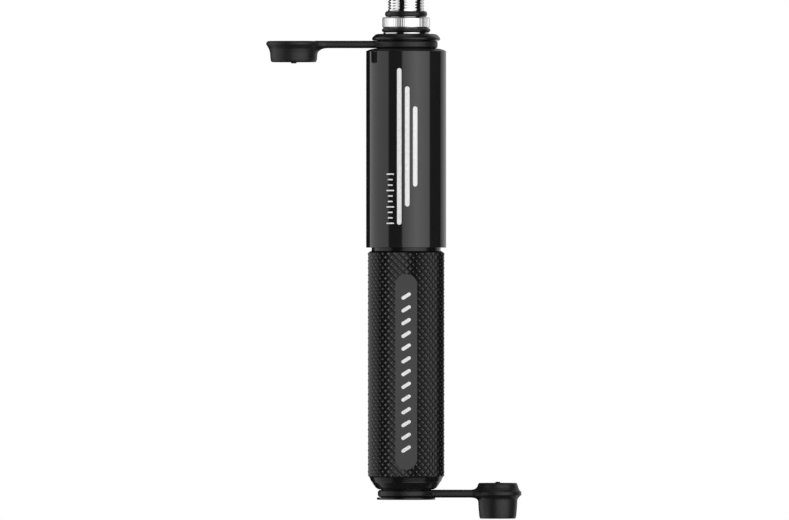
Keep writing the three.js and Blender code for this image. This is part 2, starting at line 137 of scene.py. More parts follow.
def with_thread(outline, wall, low, high):
    """The outline with rows for a thread in its straight wall at one radius. Each row is (radius, height,
    low, high): turned() lets it climb one pitch in a turn, but not out of the range from low to high."""
    step = THREAD["pitch"] / THREAD["rows"]
    count = math.ceil((high - low) / step) + THREAD["rows"]
    rows = [(wall, low - THREAD["pitch"] + k * step, low, high) for k in range(count + 1)]
    points = []
    for here, after in zip(outline, outline[1:] + outline[:1]):
        points.append(here)
        on_wall = abs(here[0] - wall) < 1e-6 and abs(after[0] - wall) < 1e-6
        if on_wall and min(here[1], after[1]) <= low and max(here[1], after[1]) >= high:
            points += rows if after[1] > here[1] else rows[::-1]
    return points


def held(outline):
    """The outline with a point close to each end of every long straight run."""
    points = []
    for here, after in zip(outline, outline[1:] + outline[:1]):
        points.append(here)
        if len(here) > 2 or len(after) > 2:
            continue
        length = math.hypot(after[0] - here[0], after[1] - here[1])
        if length > LONG_RUN:
            for share in (HOLD / length, 1 - HOLD / length):
                points.append(tuple(a + (b - a) * share for a, b in zip(here, after)))
    return points


def mesh_object(name, points, faces):
    """An object from points in millimetres, with heights above the outlet face."""
    points = np.asarray(points, float) * MM + (0, 0, FOOT)
    mesh = bpy.data.meshes.new(name)
    mesh.from_pydata(points.tolist(), [], [list(face) for face in faces])
    mesh.validate()
    obj = bpy.data.objects.new(name, mesh)
    bpy.context.scene.collection.objects.link(obj)
    return obj


def smooth(obj, angle=SMOOTH_ANGLE):
    """Smooth shading, with a crease wherever two faces meet at more than the angle."""
    obj.data.polygons.foreach_set("use_smooth", [True] * len(obj.data.polygons))
    obj.data.set_sharp_from_angle(angle=angle)
    return obj


def edit(obj, change):
    """Runs change on the object's mesh as a bmesh."""
    work = bmesh.new()
    work.from_mesh(obj.data)
    change(work)
    work.to_mesh(obj.data)
    work.free()
    obj.data.update()
    return obj


def face_outwards(obj):
    return edit(obj, lambda work: bmesh.ops.recalc_face_normals(work, faces=work.faces))


def turned(name, outline, sides=SIDES["plain"], shape=None):
    """An outline turned about the pump's axis. It runs outwards along the bottom and back along the top.
    shape(radius, height, angle) may cut the radius back, for straight knurls and threads."""
    outline = held(outline)
    radius = np.array([p[0] for p in outline])[:, None]
    height = np.array([p[1] for p in outline])[:, None]
    climb = np.array([THREAD["pitch"] if len(p) > 2 else 0 for p in outline])[:, None]
    lowest = np.array([p[2] if len(p) > 2 else p[1] for p in outline])[:, None]
    highest = np.array([p[3] if len(p) > 2 else p[1] for p in outline])[:, None]
    angle = np.linspace(0, 2 * math.pi, sides + 1)[None, :]
    height = np.clip(height + climb * angle / (2 * math.pi), lowest, highest)
    radius, height, angle = np.broadcast_arrays(radius, height, angle)
    if shape:
        radius = shape(radius, height, angle)
    points = np.stack([radius * np.sin(angle), -radius * np.cos(angle), height], -1)
    rows, columns = radius.shape
    here = np.arange(rows * columns).reshape(rows, columns)
    above = np.roll(here, -1, 0)
    faces = np.stack([here[:, :-1], here[:, 1:], above[:, 1:], above[:, :-1]], -1)
    obj = mesh_object(name, points.reshape(-1, 3), faces.reshape(-1, 4))
    edit(obj, lambda work: bmesh.ops.remove_doubles(work, verts=work.verts, dist=SAME_POINT))
    return smooth(obj)


def carved(obj, operation, tool):
    """The object cut by the tool, or kept only inside it. The tool is used up."""
    cut = obj.modifiers.new("cut", "BOOLEAN")
    cut.operation = operation
    cut.solver = "EXACT"
    cut.object = tool
    bpy.context.view_layer.update()
    whole = obj.evaluated_get(bpy.context.evaluated_depsgraph_get())
    made = bpy.data.meshes.new_from_object(whole)
    obj.modifiers.clear()
    obj.data = made
    bpy.data.objects.remove(tool)
    return obj


def o_ring(name, inner, outer, low, high):
    """A rubber ring with an oval section."""
    steps = 20
    angles = [2 * math.pi * k / steps for k in range(steps)]
    middle, level = (inner + outer) / 2, (low + high) / 2
    half, rise = (outer - inner) / 2, (high - low) / 2
    return turned(name, [(middle + half * math.cos(a), level + rise * math.sin(a)) for a in angles])


def wire(name, path, radius, sides=10):
    """A round wire along a list of points in millimetres, with flat ends."""
    path = np.array(path, float)
    along = np.gradient(path, axis=0)
    along /= np.linalg.norm(along, axis=1)[:, None]
    across = np.cross(along, (0.0, 0.0, 1.0))
    flat = np.linalg.norm(across, axis=1) < 1e-6
    across[flat] = (1.0, 0.0, 0.0)
    across /= np.linalg.norm(across, axis=1)[:, None]
    upward = np.cross(across, along)
    turn = np.linspace(0, 2 * math.pi, sides, endpoint=False)
    rings = (path[:, None] + radius * (np.cos(turn)[None, :, None] * across[:, None]
                                       + np.sin(turn)[None, :, None] * upward[:, None]))
    count = len(path)
    here = np.arange(count * sides).reshape(count, sides)
    faces = np.stack([here[:-1], np.roll(here, -1, 1)[:-1], np.roll(here, -1, 1)[1:], here[1:]], -1)
    faces = faces.reshape(-1, 4).tolist()
    faces.append(here[0][::-1].tolist())
    faces.append(here[-1].tolist())
    obj = mesh_object(name, rings.reshape(-1, 3), faces)
    return smooth(face_outwards(obj), WIRE_SMOOTH_ANGLE)


# ---------------------------------------------------------------- knurls and threads

def wave(turns):
    """0 in the groove at each whole number, 1 half way between."""
    return 1 - np.abs(2 * (turns - np.floor(turns)) - 1)


def diamond_faces():
    """The faces of one raised diamond. Its corners are (p, q, depth), where each whole p is the bottom of
    a deep groove and each whole q is the bottom of a shallow one."""
    deep, shallow = KNURL["deep"], KNURL["shallow"]
    top = KNURL["groove"] / 2
    meet = top * (1 - shallow / deep)  # where the shallow groove comes out of the deep groove's wall
    left = [(0, 0, deep), (meet, 0, shallow), (top, top, 0),
            (top, 1 - top, 0), (meet, 1, shallow), (0, 1, deep)]
    lower = [(meet, 0, shallow), (1 - meet, 0, shallow), (1 - top, top, 0), (top, top, 0)]
    flat = [(top, top, 0), (1 - top, top, 0), (1 - top, 1 - top, 0), (top, 1 - top, 0)]
    right = [(1 - p, 1 - q, depth) for p, q, depth in left]
    upper = [(1 - p, 1 - q, depth) for p, q, depth in lower]
    return [left, right, lower, upper, flat]


def knurled_bar(low, high):
    """A solid bar with two crossed families of helical grooves, longer than the grip."""
    faces = diamond_faces()
    rows = range(math.floor(2 * low / KNURL["pitch"]) - 2, math.ceil(2 * high / KNURL["pitch"]) + 2)
    points, polygons = [], []
    for row in rows:
        for column in range(KNURL["starts"]):
            p0 = column + row // 2
            q0 = p0 - row
            for face in faces:
                polygons.append(range(len(points), len(points) + len(face)))
                for p, q, depth in face:
                    angle = (p0 + p + q0 + q) / 2 * 2 * math.pi / KNURL["starts"]
                    height = (p0 + p - q0 - q) / 2 * KNURL["pitch"]
                    radius = GRIP_RADIUS - depth
                    points.append((radius * math.sin(angle), -radius * math.cos(angle), height))
    bar = mesh_object("knurled_bar", points, polygons)

    def close(work):
        bmesh.ops.remove_doubles(work, verts=work.verts, dist=1e-7)
        for height, side in ((low, -1), (high, 1)):
            whole = list(work.verts) + list(work.edges) + list(work.faces)
            bmesh.ops.bisect_plane(work, geom=whole, plane_co=(0, 0, height * MM + FOOT),
                                   plane_no=(0, 0, side), clear_outer=True, dist=1e-9)
        bmesh.ops.edgeloop_fill(work, edges=[e for e in work.edges if e.is_boundary])
        bmesh.ops.recalc_face_normals(work, faces=work.faces)
        bmesh.ops.triangulate(work, faces=work.faces)
    return edit(bar, close)


def panel_cutter():
    """A slab with round ends, whose inner face is the flat panel."""
    half, steps = PANEL["half_width"], 24
    outline = []
    for centre, first in ((PANEL["high"] - half, 0), (PANEL["low"] + half, 180)):
        for k in range(steps + 1):
            angle = math.radians(first + 180 * k / steps)
            outline.append((half * math.cos(angle), centre + half * math.sin(angle)))
    count = len(outline)
    points = [(x, -depth, h) for depth in (PANEL["flat"], GRIP_RADIUS + 2) for x, h in outline]
    faces = [range(count), range(2 * count - 1, count - 1, -1)]
    faces += [(k, k + count, (k + 1) % count + count, (k + 1) % count) for k in range(count)]
    return face_outwards(mesh_object("panel_cutter", points, faces))


def threaded(wall, low, high, outside=True):
    """A shape that cuts a helical thread, between two heights, into the outer or inner wall at a radius."""
    def shape(radius, height, angle):
        turns = (height - low) / THREAD["pitch"] - angle / (2 * math.pi)
        groove = 1 - np.clip(wave(turns) / THREAD["flank"], 0, 1)
        fade = np.clip(np.minimum(height - low, high - height) / THREAD["run_out"], 0, 1)
        depth = THREAD["depth"] * fade * (groove if outside else 1 - groove)
        return np.where(np.abs(radius - wall) < 1e-6, radius - depth, radius)
    return shape


def straight_knurled(name, radius, low, high):
    """A ring with shallow grooves along the axis and chamfered ends."""
    outline = rounded([
        (radius - 0.7, low), (radius - 0.2, low, 0.05), (radius, low + 0.3, 0.05),
        (radius, high - 0.3, 0.05), (radius - 0.2, high, 0.05), (radius - 0.7, high),
    ])

    def shape(r, height, angle):
        land = np.clip(wave(BAND["teeth"] * angle / (2 * math.pi)) / BAND["groove"], 0, 1)
        return np.where(r > radius - 0.25, r - BAND["depth"] * (1 - land), r)
    band = turned(name, outline, BAND["teeth"] * BAND["columns"], shape)
    paint(band, CHROME)
    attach(band, "hose")


# ---------------------------------------------------------------- moulded rubber

def outline_distance(outline, r, h):
    """Distance from points to a closed outline, negative inside it."""
    nearest = np.full(np.shape(r), np.inf)
    inside = np.zeros(np.shape(r), bool)
    for (r0, h0), (r1, h1) in zip(outline, outline[1:] + outline[:1]):
        er, eh = r1 - r0, h1 - h0
        pr, ph = r - r0, h - h0
        share = np.clip((pr * er + ph * eh) / (er * er + eh * eh), 0, 1)
        nearest = np.minimum(nearest, (pr - er * share) ** 2 + (ph - eh * share) ** 2)
        if eh:
            inside ^= ((h0 <= h) != (h1 <= h)) & (pr < er * ph / eh)
    return np.where(inside, -1, 1) * np.sqrt(nearest)


def round_solid(corners, x=0.0):
    """The field of an outline turned about an upright axis at x."""
    outline = rounded(corners)
    return lambda px, py, ph: outline_distance(outline, np.hypot(px - x, py), ph)


def bar_solid(x0, x1, low, high, width, edge):
    """The field of a block with rounded edges."""
    centre = ((x0 + x1) / 2, 0, (low + high) / 2)
    half = (abs(x1 - x0) / 2 - edge, width / 2 - edge, (high - low) / 2 - edge)

    def field(px, py, ph):
        away = [np.abs(p - c) - h for p, c, h in zip((px, py, ph), centre, half)]
        outer = np.sqrt(sum(np.maximum(a, 0) ** 2 for a in away))
        return outer + np.minimum(np.maximum.reduce(away), 0) - edge
    return field


def melted(a, b, melt):
    """The lower of two fields, with the corner between them rounded."""
    share = np.clip(0.5 + 0.5 * (b - a) / melt, 0, 1)
    return b + (a - b) * share - melt * share * (1 - share)


def fused(fields, melt):
    """The union of solids, with a fillet between them."""
    def field(px, py, ph):
        whole = fields[0](px, py, ph)
        for other in fields[1:]:
            whole = melted(whole, other(px, py, ph), melt)
        return whole
    return field


def hollowed(field, *cavities):
    """The solid with cavities taken out of it and their rims rounded."""
    def result(px, py, ph):
        whole = -field(px, py, ph)
        for cavity in cavities:
            whole = melted(whole, cavity(px, py, ph), RIM_MELT)
        return -whole
    return result


def between_levels(field, low, high):
    """The part of a solid that lies between two heights."""
    return lambda px, py, ph: np.maximum.reduce([field(px, py, ph), low - ph, ph - high])


def gradient(field, points):
    tiny = 0.01  # mm
    slopes = []
    for axis in range(3):
        shift = np.zeros(3)
        shift[axis] = tiny
        slopes.append(field(*(points + shift).T) - field(*(points - shift).T))
    return np.stack(slopes, -1) / (2 * tiny)


def settle(field, points):
    """Moves points on to the field's surface."""
    rounds, gentlest = 4, 0.2
    for _ in range(rounds):
        value = field(*points.T)
        slope = gradient(field, points)
        steepness = np.maximum((slope ** 2).sum(1), gentlest)
        step = slope * (value / steepness)[:, None]
        length = np.maximum(np.linalg.norm(step, axis=1), 1e-9)
        points = points - step * np.minimum(1, MOULD_CELL / length)[:, None]
    return points


def inside_of(field, axes):
    """Whether each point of a grid is in the solid. Only blocks near its surface are read point by point."""
    block = 4
    middle = (block - 1) / 2
    rough_axes = [axis[0] + (np.arange(math.ceil(len(axis) / block)) * block + middle) * MOULD_CELL
                  for axis in axes]
    rough = field(*np.meshgrid(*rough_axes, indexing="ij"))
    value = rough[np.ix_(*[np.arange(len(axis)) // block for axis in axes])]
    near = np.nonzero(np.abs(value) < (block + 1) * MOULD_CELL)
    value[near] = field(*[axis[index] for axis, index in zip(axes, near)])
    return value < 0


def moulded(name, field, low, high):
    """The surface where field is 0, as one quad mesh inside a box."""
    axes = [np.arange(a, b + MOULD_CELL, MOULD_CELL) for a, b in zip(low, high)]
    inside = inside_of(field, axes)
    cells = np.array(inside.shape) - 1
    count = np.zeros(cells, int)
    for corner in np.ndindex(2, 2, 2):
        count += inside[tuple(slice(c, c + n) for c, n in zip(corner, cells))]
    active = (count > 0) & (count < 8)
    number = np.full(cells, -1)
    number[active] = np.arange(active.sum())
    points = np.array(low) + (np.argwhere(active) + 0.5) * MOULD_CELL
    faces = []
    for axis in range(3):
        b, c = (axis + 1) % 3, (axis + 2) % 3
        first = np.take(inside, range(inside.shape[axis] - 1), axis)
        second = np.take(inside, range(1, inside.shape[axis]), axis)
        edge = np.argwhere(first != second)
        off_rim = (edge[:, b] > 0) & (edge[:, c] > 0) & (edge[:, b] < cells[b]) & (edge[:, c] < cells[c])
        edge = edge[off_rim]
        quad = []
        for back_b, back_c in ((1, 1), (0, 1), (0, 0), (1, 0)):
            cell = edge.copy()
            cell[:, b] -= back_b
            cell[:, c] -= back_c
            quad.append(number[tuple(cell.T)])
        quad = np.stack(quad, -1)
        outward = first[tuple(edge.T)]
        faces.append(np.where(outward[:, None], quad, quad[:, ::-1]))
    faces = np.concatenate(faces)
    points = settle(field, points)
    links = np.concatenate([faces[:, [0, 1]], faces[:, [1, 2]], faces[:, [2, 3]], faces[:, [3, 0]]])
    total = np.zeros_like(points)
    np.add.at(total, links[:, 0], points[links[:, 1]])
    shared = np.bincount(links[:, 0], minlength=len(points))
    points = settle(field, total / shared[:, None])
    obj = mesh_object(name, points, faces)
    obj.data.polygons.foreach_set("use_smooth", [True] * len(obj.data.polygons))
    return obj


def stretch_of(obj, name, x_from, x_to):
    """A copy of the object between two planes across X, in millimetres, closed where it is cut."""
    copy = bpy.data.objects.new(name, obj.data.copy())
    bpy.context.scene.collection.objects.link(copy)

    def change(work):
        for x, side in ((x_from, 1), (x_to, -1)):
            if x is None:
                continue
            whole = list(work.verts) + list(work.edges) + list(work.faces)
            bmesh.ops.bisect_plane(work, geom=whole, plane_co=(x * MM, 0, 0), plane_no=(side, 0, 0),
                                   clear_inner=True, dist=1e-8)
            rim = [e for e in work.edges if e.is_boundary]
            for edge in rim:
                edge.smooth = False
            bmesh.ops.edgeloop_fill(work, edges=rim)
    edit(copy, change)
    most_corners = 5  # of a clipped face; a face that closes a cut has more
    few_corners = [len(p.vertices) <= most_corners for p in copy.data.polygons]
    copy.data.polygons.foreach_set("use_smooth", few_corners)
    return copy


# ---------------------------------------------------------------- materials

def material(name, color, roughness, metallic=0.0, specular=0.5):
    made = bpy.data.materials.new(name)
    made.use_nodes = True
    shader = shader_of(made)
    shader.inputs["Base Color"].default_value = (*color, 1)
    shader.inputs["Roughness"].default_value = roughness
    shader.inputs["Metallic"].default_value = metallic
    shader.inputs["IOR"].default_value = 1.5
    shader.inputs["Specular IOR Level"].default_value = specular
    return made


def node(made, kind, **inputs):
    new = made.node_tree.nodes.new(kind)
    for name, value in inputs.items():
        new.inputs[name.replace("_", " ")].default_value = value
    return new


def link(made, source, target):
    made.node_tree.links.new(source, target)


def shader_of(made):
    return made.node_tree.nodes["Principled BSDF"]


def noise(made, scale, detail=4.0, stretch=(1, 1, 1)):
    """A noise over the object's own coordinates, drawn out along some axes."""
    place = made.node_tree.nodes.new("ShaderNodeTexCoord")
    mapping = node(made, "ShaderNodeMapping", Scale=stretch)
    texture = node(made, "ShaderNodeTexNoise", Scale=scale, Detail=detail)
    link(made, place.outputs["Object"], mapping.inputs["Vector"])
    link(made, mapping.outputs["Vector"], texture.inputs["Vector"])
    return texture.outputs["Fac"]


def math_node(made, operation, *values):
    """A maths node of a material or a world, whose inputs are numbers or other nodes' outputs."""
    new = node(made, "ShaderNodeMath")
    new.operation = operation
    for socket, value in zip(new.inputs, values):
        if isinstance(value, (int, float)):
            socket.default_value = value
        else:
            link(made, value, socket)
    return new.outputs["Value"]


def vary_roughness(made, source, low, high):
    spread = node(made, "ShaderNodeMapRange", From_Min=0.3, From_Max=0.7, To_Min=low, To_Max=high)
    link(made, source, spread.inputs["Value"])
    link(made, spread.outputs["Result"], shader_of(made).inputs["Roughness"])


def vary_color(made, source, dark, light):
    ramp = made.node_tree.nodes.new("ShaderNodeValToRGB")
    ramp.color_ramp.elements[0].position = 0.3
    ramp.color_ramp.elements[0].color = (*dark, 1)
    ramp.color_ramp.elements[1].position = 0.7
    ramp.color_ramp.elements[1].color = (*light, 1)
    link(made, source, ramp.inputs["Fac"])
    link(made, ramp.outputs["Color"], shader_of(made).inputs["Base Color"])


def bump(made, source, strength, depth):
    new = node(made, "ShaderNodeBump", Strength=strength, Distance=depth * MM)
    link(made, source, new.inputs["Height"])
    link(made, new.outputs["Normal"], shader_of(made).inputs["Normal"])


def gray(value):
    return (value, value, value)


def gloss_anodised():
    """Polished, dyed aluminium under a clear seal, with faint handling marks."""
    made = material("gloss_anodised", gray(0.0105), 0.03, specular=0.5)
    vary_roughness(made, noise(made, 900, 3, (1, 1, 0.15)), 0.018, 0.045)
    vary_color(made, noise(made, 60), gray(0.0098), gray(0.0115))
    return made


def satin_anodised():
    """Bead-blasted, dyed aluminium with fine turning lines round it."""
    made = material("satin_anodised", gray(0.0085), 0.2, specular=0.33)
    lines = noise(made, 90, 5, (0.02, 0.02, 60))
    vary_roughness(made, noise(made, 700), 0.17, 0.24)
    vary_color(made, noise(made, 80), gray(0.0075), gray(0.0095))
    bump(made, lines, 0.1, 0.015)
    return made


def knurl_anodised():
    """The knurl: polished on its crests, with painted shade in the grooves (its specular drops towards them), and
    even on the milled panel.
    """
    made = material("knurl_anodised", gray(0.007), 0.19, specular=0.5)
    vary_roughness(made, noise(made, 500), 0.15, 0.22)
    vary_color(made, noise(made, 40), gray(0.0055), gray(0.009))
    bump(made, noise(made, 9000, 2), 0.08, 0.008)
    place = made.node_tree.nodes.new("ShaderNodeTexCoord")
    parts = made.node_tree.nodes.new("ShaderNodeSeparateXYZ")
    link(made, place.outputs["Object"], parts.inputs["Vector"])
    x, y = parts.outputs["X"], parts.outputs["Y"]
    x_squared = math_node(made, "MULTIPLY", x, x)
    y_squared = math_node(made, "MULTIPLY", y, y)
    from_axis = math_node(made, "SQRT", math_node(made, "ADD", x_squared, y_squared))
    # Painted shade: the specular level drops from the crests down to the groove floors, darkening the grooves; the
    # milled panel is kept even.
    groove, crest = (GRIP_RADIUS - 0.34) * MM, (GRIP_RADIUS - 0.02) * MM
    groove_shade_specular = node(made, "ShaderNodeMapRange", From_Min=groove, From_Max=crest, To_Min=0.22, To_Max=0.85)
    link(made, from_axis, groove_shade_specular.inputs["Value"])
    on_panel_face = math_node(made, "COMPARE", y, -PANEL["flat"] * MM, 0.02 * MM)
    even = math_node(made, "MULTIPLY", on_panel_face, 0.52)
    shine = math_node(made, "MAXIMUM", groove_shade_specular.outputs["Result"], even)
    link(made, shine, shader_of(made).inputs["Specular IOR Level"])
    return made


def polished_chrome():
    made = material("polished_chrome", gray(0.86), 0.05, metallic=1.0)
    vary_roughness(made, noise(made, 800, 3, (1, 1, 3)), 0.035, 0.085)
    return made


def turned_metal(name, light, roughness):
    """Bare metal with turning lines."""
    made = material(name, light, roughness, metallic=1.0)
    lines = noise(made, 120, 6, (0.02, 0.02, 80))
    vary_roughness(made, lines, roughness * 0.8, roughness * 1.35)
    dark = tuple(c * 0.9 for c in light)
    vary_color(made, noise(made, 70), dark, light)
    bump(made, lines, 0.1, 0.015)
    return made


def moulded_rubber(name, shade, low, high, grain):
    """Soft matt rubber with a fine moulded grain."""
    made = material(name, gray(shade), (low + high) / 2, specular=0.32)
    vary_roughness(made, noise(made, 350), low, high)
    vary_color(made, noise(made, 55), gray(shade * 0.85), gray(shade * 1.2))
    bump(made, noise(made, grain, 3), 0.25, 0.012)
    return made


def bearing_plastic():
    made = material("bearing_plastic", (0.6, 0.56, 0.45), 0.45)
    vary_color(made, noise(made, 90), (0.55, 0.51, 0.41), (0.63, 0.59, 0.48))
    bump(made, noise(made, 2500, 2), 0.1, 0.01)
    return made


def white_ink():
    """Screen-printed ink, slightly uneven."""
    made = material("white_ink", gray(0.8), 0.4)
    vary_color(made, noise(made, 1500, 3), gray(0.74), gray(0.86))
    vary_roughness(made, noise(made, 900), 0.34, 0.48)
    return made


def floor_paint():
    made = material("floor_paint", gray(0.85), 0.7)
    vary_color(made, noise(made, 6), gray(0.83), gray(0.87))
    return made


GLOSS = gloss_anodised()
SATIN = satin_anodised()
KNURLED = knurl_anodised()
CHROME = polished_chrome()
BARE = turned_metal("bare_aluminium", (0.72, 0.73, 0.75), 0.24)
BRASS = turned_metal("turned_brass", (0.68, 0.5, 0.22), 0.24)
STEEL = turned_metal("spring_steel", (0.52, 0.53, 0.55), 0.22)
CAP_RUBBER = moulded_rubber("cap_rubber", 0.008, 0.36, 0.46, 4200)
SEAL_RUBBER = moulded_rubber("seal_rubber", 0.007, 0.3, 0.38, 5200)
HOSE_RUBBER = moulded_rubber("hose_rubber", 0.014, 0.42, 0.52, 3000)
PLASTIC = bearing_plastic()
INK_WHITE = white_ink()

FINISHES = {
    "gloss_black": GLOSS,
    "black_anodised": SATIN,
    "knurled_black": KNURLED,
    "bare_aluminium": BARE,
    "chrome": CHROME,
    "brass": BRASS,
    "spring_steel": STEEL,
    "cap_rubber": CAP_RUBBER,
    "seal_rubber": SEAL_RUBBER,
    "hose_rubber": HOSE_RUBBER,
    "bearing_plastic": PLASTIC,
}
BODIES = frame["record"]["behaviour"]["bodies"]
SLOT_OF = {part["node"]: part["material_slot"] for part in frame["record"]["subparts"]}
BODY_OF = {name: body for body, names in BODIES.items() for name in names}


def paint(obj, made):
    obj.data.materials.clear()
    obj.data.materials.append(made)


def stands_for(obj, cad_node):
    """Gives the piece the node's finish and body, and hides the node."""
    paint(obj, FINISHES[SLOT_OF[cad_node]])
    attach(obj, BODY_OF[cad_node])
    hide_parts(cad_node)
    return obj


# ---------------------------------------------------------------- barrel and grip

def grip_sleeve():
    """A length of knurled bar, turned to a taper at each end, bored, and milled flat for the panel."""
    outline = rounded([
        (9.55, 5.0), (9.6, 5.0, 0.02), (10.06, 6.15, 0.3), (10.6, 6.75),
        (10.6, 67.75), (9.72, 68.4, 0.2), (9.55, 68.4),
    ])
    envelope = turned("grip_envelope", outline, SIDES["large"])
    sleeve = knurled_bar(low=4, high=70)
    sleeve.name = "grip_knurled"
    carved(sleeve, "INTERSECT", envelope)
    carved(sleeve, "DIFFERENCE", panel_cutter())
    return stands_for(smooth(sleeve, KNURL_SMOOTH_ANGLE), "grip_sleeve")


def barrel_tube():
    outline = rounded([(8.2, 5.15), (9.5, 5.15), (9.5, 114, 0.15), (8.2, 114, 0.15)])
    return stands_for(turned("barrel_tube_turned", outline), "barrel_tube")


def outlet_head():
    """The outlet end, with its threaded port."""
    port, thread_low, thread_high = 5.05, 1.95, 7.05
    outline = rounded([
        (5.9, 0, 0.15), (8.05, 0, 0.25), (8.05, 0.62, 0.15), (6.9, 0.62, 0.05), (6.9, 2.8, 0.05),
        (7.6, 2.85, 0.1), (8.36, 3.32, 0.5), (8.98, 4.2, 1.0), (9.36, 4.8, 0.08), (9.38, 5.04, 0.05),
        (8.15, 5.04), (8.15, 13.1, 0.1), (1, 13.1), (1, 11.2), (2.6, 11.2), (2.6, 7.2),
        (port, 7.2), (port, 1.8), (5.9, 1.8),
    ])
    outline = with_thread(outline, port, thread_low, thread_high)
    shape = threaded(port, thread_low, thread_high, outside=False)
    return stands_for(turned("outlet_head_turned", outline, shape=shape), "outlet_head")


def rod_gland():
    outline = rounded([
        (6.75, 107.5), (8.15, 107.5, 0.1), (8.15, 114.05), (9.45, 114.05, 0.1), (9.45, 115.4, 0.2),
        (9.2, 115.6, 0.1), (8.6, 115.6, 0.1), (8.5, 115.35, 0.1), (7.7, 115.35, 0.1), (7.6, 115.6, 0.1),
        (6.75, 115.6, 0.15), (6.75, 115), (7.25, 115), (7.25, 108), (6.75, 108),
    ])
    return stands_for(turned("rod_gland_turned", outline), "rod_gland")


def check_valve():
    retainer = rounded([(0.9, 7.3, 0.1), (2.55, 7.3, 0.1), (2.55, 8.3), (0.9, 8.3)])
    stands_for(turned("check_valve_retainer_turned", retainer, SIDES["small"]), "check_valve_retainer")
    poppet = rounded([(0, 9.9), (2, 9.9, 0.1), (2.1, 10.1), (2.1, 10.6, 0.1), (1.3, 11.15, 0.2),
                      (0, 11.15)])
    stands_for(turned("check_valve_poppet_moulded", poppet, SIDES["small"]), "check_valve_poppet")
    radius, low, rise, end = 1.45, 8.52, 1.16, 6 * math.pi
    coil = [(radius * math.cos(a), radius * math.sin(a), low + rise * a / end)
            for a in np.linspace(0, end, 97)]
    spring = stands_for(wire("check_valve_spring_wire", coil, 0.15), "check_valve_spring")
    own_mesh(spring)


def bleed_spring():
    """A conical spring, from the floor of the bleed button's hole out to the button. Pressed, it nests
    flat. It is wound about an upright axis and then laid along Y."""
    height, floor_depth, end = 43, 2.3, 5 * math.pi
    coil = []
    for a in np.linspace(0, end, 81):
        share = a / end
        radius = 1.02 - 0.45 * share
        coil.append((radius * math.cos(a), radius * math.sin(a), floor_depth + 0.12 + 0.74 * share))
    spring = wire("bleed_spring_wire", coil, 0.1)
    for vertex in spring.data.vertices:
        x, y, z = vertex.co
        vertex.co = (x, FOOT - z, FOOT + height * MM + y)
    stands_for(spring, "bleed_spring")
    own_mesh(spring)


# ---------------------------------------------------------------- handle

def handle_tube():
    outline = rounded([
        (9.75, 69.32, 0.12), (TUBE_RADIUS, 69.32, 0.12), (TUBE_RADIUS, 123.35, 0.18),
        (10.35, 123.68, 0.6), (9.35, 123.98, 0.8), (8.0, 124.16, 0.3), (7.3, 124.18), (7.3, 122.6),
        (9.75, 122.6),
    ])
    return stands_for(turned("handle_tube_polished", outline, SIDES["large"]), "handle_tube")


def handle_neck():
    outline = rounded([
        (6.65, 117.15), (7.25, 117.15), (7.25, 124.22), (7.6, 124.22), (7.6, 126.28), (9.1, 126.28, 0.1),
        (9.42, 126.6, 0.15), (9.32, 127.0, 0.3), (8.95, 127.45, 0.4), (8.3, 127.98, 0.3),
        (7.6, 128.1, 0.1), (6.05, 128.1, 0.1), (6.05, 122.6), (6.65, 122.6),
    ])
    return stands_for(turned("handle_neck_turned", outline), "handle_neck")


def piston_rod():
    outline = rounded([(6, 22.05), (6.6, 22.05), (6.6, 122.5, 0.1), (6, 122.5, 0.1)])
    return stands_for(turned("piston_rod_drawn", outline), "piston_rod")


# ---------------------------------------------------------------- hose

def schrader_fitting():
    """The hose end that stands out of the neck."""
    band_low, band_high, thread_low, top = 129.75, 132.65, 134.4, 138.4
    outline = rounded([
        (1.1, 113), (1.45, 113), (1.45, 121), (5.8, 121, 0.15), (5.8, 128.15), (6.3, 128.15, 0.08),
        (6.3, 128.45, 0.08), (5.2, 128.45), (5.2, band_low), (6.1, band_low + 0.02),
        (6.1, band_high - 0.02), (4.6, band_high), (4.6, thread_low), (4.95, thread_low),
        (5.0, thread_low + 0.05), (5.0, top - 0.35, 0.05), (4.65, top, 0.08), (3.95, top, 0.12),
        (3.95, 131.1), (2.2, 131.1), (2.2, 130.2), (1.1, 130.2),
    ])
    thread_wall = (5.0, thread_low + 0.06, top - 0.42)
    socket_wall = (3.95, 133.6, top - 0.3)
    outline = with_thread(with_thread(outline, *thread_wall), *socket_wall)
    thread = threaded(*thread_wall)
    socket = threaded(*socket_wall, outside=False)

    def shape(radius, height, angle):
        return socket(thread(radius, height, angle), height, angle)
    stands_for(turned("schrader_fitting_plated", outline, THREAD["sides"], shape), "schrader_fitting")
    straight_knurled("schrader_band_knurled", 6.55, band_low, band_high)


def presta_fitting():
    """The hose end that is stored at the bottom of the rod."""
    outline = rounded([
        (2.75, 28, 0.1), (4.65, 28, 0.08), (5.0, 28.35, 0.05), (5.0, 31.95), (4.95, 32), (4.6, 32),
        (4.6, 33.65), (5.3, 33.67), (5.3, 36.63), (4.9, 36.65), (4.9, 47.5, 0.3),
        (1.45, 47.5), (1.45, 55.5), (1.1, 55.5), (1.1, 39.5), (1.6, 39.5), (1.6, 35.6),
        (2.9, 35.6), (2.9, 33.4), (2.75, 33.4),
    ])
    thread_wall = (5.0, 28.42, 31.9)
    outline = with_thread(outline, *thread_wall)
    shape = threaded(*thread_wall)
    stands_for(turned("presta_fitting_plated", outline, THREAD["sides"], shape), "presta_fitting")
    straight_knurled("presta_band_knurled", 5.75, 33.65, 36.65)


def ferrule(name, cad_node, low):
    """A crimped sleeve: three shallow grooves round it."""
    inner, outer, crimp, length, spacing, fillet = 3.55, 4.1, 3.92, 7.6, 1.9, 0.2
    outline = [(inner, low), (outer, low, fillet)]
    for k in range(3):
        groove = low + spacing * (k + 1)
        outline += [(outer, groove - 0.5, fillet), (crimp, groove - 0.2, fillet),
                    (crimp, groove + 0.2, fillet), (outer, groove + 0.5, fillet)]
    outline += [(outer, low + length, fillet), (inner, low + length)]
    return stands_for(turned(name, rounded(outline), SIDES["middle"]), cad_node)


